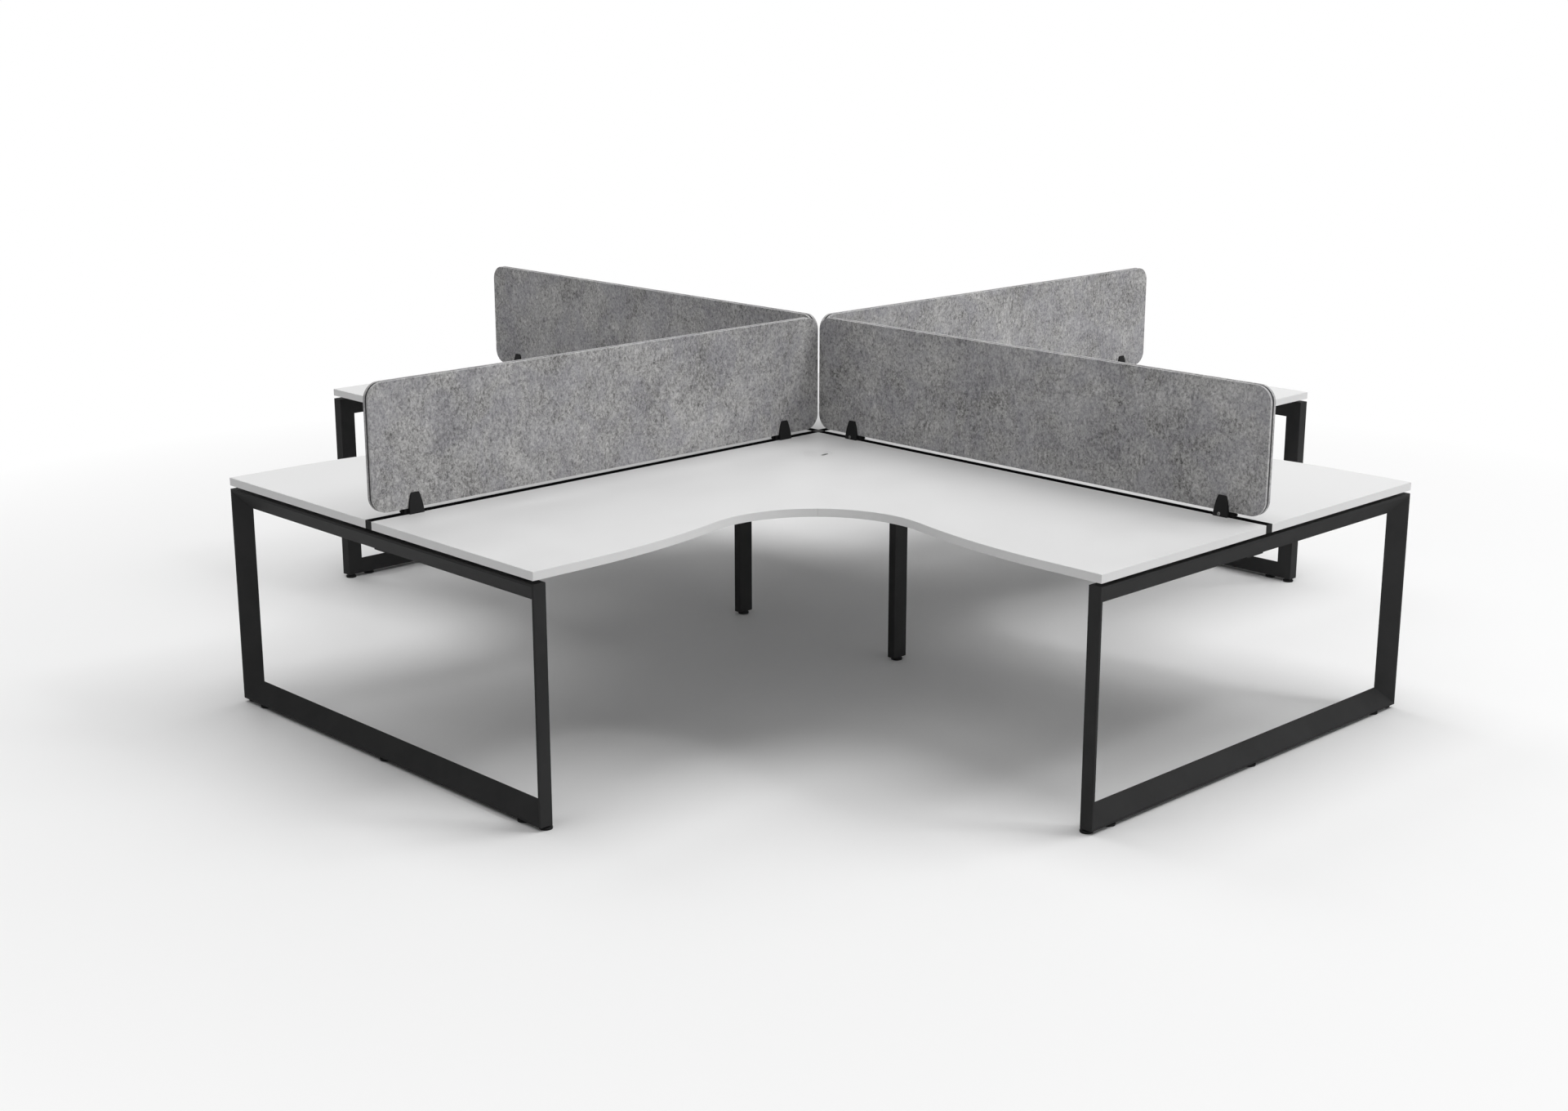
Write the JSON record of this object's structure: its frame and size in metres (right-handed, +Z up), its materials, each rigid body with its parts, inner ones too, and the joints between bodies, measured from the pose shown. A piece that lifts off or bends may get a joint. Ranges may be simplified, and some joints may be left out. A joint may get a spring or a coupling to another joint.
{
  "type": "cubicle workstation",
  "caption": "Back-to-back cluster of L-shaped corner desks in a cross, with clamped felt divider screens, closed loop end legs, middle posts, cable grommets and levelling feet",
  "frame": {"origin": "on the floor at the middle of the cross, which is the centre of the box's base", "axes": "+Z up; +X along the front-right arm, +Y along the back-right arm, -X back-left, -Y front-left"},
  "size_m": [3.63, 3.63, 1.126],
  "materials": {
    "white_board": "matt white melamine on particle board",
    "white_edge": "matt white edge band",
    "white_plastic": "fine matt moulding",
    "black_powder_coat": "fine-textured matt black powder coat on steel",
    "black_anodised": "matt black anodised extrusion",
    "grey_felt": "mottled grey pressed felt with paler cut edges",
    "screen_core": "dark grey matt core sheet",
    "clamp_black": "satin black moulding",
    "black_plastic": "matt black moulding",
    "foot_plastic": "matt black nylon",
    "zinc_steel": "bright zinc-plated fasteners"
  },
  "bodies": {
    "frame": {"beams": "black_powder_coat", "centre_hub": "black_powder_coat", "clamp_bodies": "clamp_black", "clamp_front_jaws": "clamp_black", "clamp_hold_bolts": "zinc_steel", "clamp_jaw_screws": "zinc_steel", "clamp_plates": "black_powder_coat", "clamp_thumb_screws": "clamp_black", "cross_plates": "black_powder_coat", "edge_band_back": "white_edge", "edge_band_front": "white_edge", "edge_band_left": "white_edge", "edge_band_right": "white_edge", "foot_inserts": "zinc_steel", "frame_bolts": "zinc_steel", "gap_rail_back_left": "black_anodised", "gap_rail_back_right": "black_anodised", "gap_rail_front_left": "black_anodised", "gap_rail_front_right": "black_anodised", "grommet_liners": "white_plastic", "loop_glides": "foot_plastic", "loop_leg_back_left": "black_powder_coat", "loop_leg_back_right": "black_powder_coat", "loop_leg_front_left": "black_powder_coat", "loop_leg_front_right": "black_powder_coat", "middle_post_back_left": "black_powder_coat", "middle_post_front_right": "black_powder_coat", "post_plugs": "black_plastic", "rail_centre_cap": "black_plastic", "rail_end_caps": "black_plastic", "screen_core_back_left": "screen_core", "screen_core_back_right": "screen_core", "screen_core_front_left": "screen_core", "screen_core_front_right": "screen_core", "screen_felt_back_left": "grey_felt", "screen_felt_back_right": "grey_felt", "screen_felt_front_left": "grey_felt", "screen_felt_front_right": "grey_felt", "spacers": "black_plastic", "worktop_back": "white_board", "worktop_front": "white_board", "worktop_left": "white_board", "worktop_right": "white_board", "worktop_screws": "zinc_steel"},
    "levelling_foot_front_right_1": {"levelling_foot_front_right_1": "foot_plastic"},
    "levelling_foot_front_right_2": {"levelling_foot_front_right_2": "foot_plastic"},
    "levelling_foot_back_right_1": {"levelling_foot_back_right_1": "foot_plastic"},
    "levelling_foot_back_right_2": {"levelling_foot_back_right_2": "foot_plastic"},
    "levelling_foot_back_left_1": {"levelling_foot_back_left_1": "foot_plastic"},
    "levelling_foot_back_left_2": {"levelling_foot_back_left_2": "foot_plastic"},
    "levelling_foot_front_left_1": {"levelling_foot_front_left_1": "foot_plastic"},
    "levelling_foot_front_left_2": {"levelling_foot_front_left_2": "foot_plastic"},
    "post_foot_front_right": {"post_foot_front_right": "foot_plastic"},
    "post_foot_back_left": {"post_foot_back_left": "foot_plastic"},
    "grommet_cap_front": {"grommet_cap_front": "white_plastic"},
    "grommet_cap_right": {"grommet_cap_right": "white_plastic"},
    "grommet_cap_back": {"grommet_cap_back": "white_plastic"},
    "grommet_cap_left": {"grommet_cap_left": "white_plastic"}
  },
  "joints": [
    {"name": "levelling_foot_front_right_1_height", "type": "slide", "parent": "frame", "child": "levelling_foot_front_right_1", "axis": [0, 0, -1], "range_m": [0, 0.01]},
    {"name": "levelling_foot_front_right_2_height", "type": "slide", "parent": "frame", "child": "levelling_foot_front_right_2", "axis": [0, 0, -1], "range_m": [0, 0.01]},
    {"name": "levelling_foot_back_right_1_height", "type": "slide", "parent": "frame", "child": "levelling_foot_back_right_1", "axis": [0, 0, -1], "range_m": [0, 0.01]},
    {"name": "levelling_foot_back_right_2_height", "type": "slide", "parent": "frame", "child": "levelling_foot_back_right_2", "axis": [0, 0, -1], "range_m": [0, 0.01]},
    {"name": "levelling_foot_back_left_1_height", "type": "slide", "parent": "frame", "child": "levelling_foot_back_left_1", "axis": [0, 0, -1], "range_m": [0, 0.01]},
    {"name": "levelling_foot_back_left_2_height", "type": "slide", "parent": "frame", "child": "levelling_foot_back_left_2", "axis": [0, 0, -1], "range_m": [0, 0.01]},
    {"name": "levelling_foot_front_left_1_height", "type": "slide", "parent": "frame", "child": "levelling_foot_front_left_1", "axis": [0, 0, -1], "range_m": [0, 0.01]},
    {"name": "levelling_foot_front_left_2_height", "type": "slide", "parent": "frame", "child": "levelling_foot_front_left_2", "axis": [0, 0, -1], "range_m": [0, 0.01]},
    {"name": "post_foot_front_right_height", "type": "slide", "parent": "frame", "child": "post_foot_front_right", "axis": [0, 0, -1], "range_m": [0, 0.01]},
    {"name": "post_foot_back_left_height", "type": "slide", "parent": "frame", "child": "post_foot_back_left", "axis": [0, 0, -1], "range_m": [0, 0.01]},
    {"name": "grommet_cap_front_turn", "type": "hinge", "parent": "frame", "child": "grommet_cap_front", "pos_m": [0.255, -0.255, 0.729], "axis": [0, 0, 1], "continuous": true},
    {"name": "grommet_cap_right_turn", "type": "hinge", "parent": "frame", "child": "grommet_cap_right", "pos_m": [0.255, 0.255, 0.729], "axis": [0, 0, 1], "continuous": true},
    {"name": "grommet_cap_back_turn", "type": "hinge", "parent": "frame", "child": "grommet_cap_back", "pos_m": [-0.255, 0.255, 0.729], "axis": [0, 0, 1], "continuous": true},
    {"name": "grommet_cap_left_turn", "type": "hinge", "parent": "frame", "child": "grommet_cap_left", "pos_m": [-0.255, -0.255, 0.729], "axis": [0, 0, 1], "continuous": true}
  ]
}
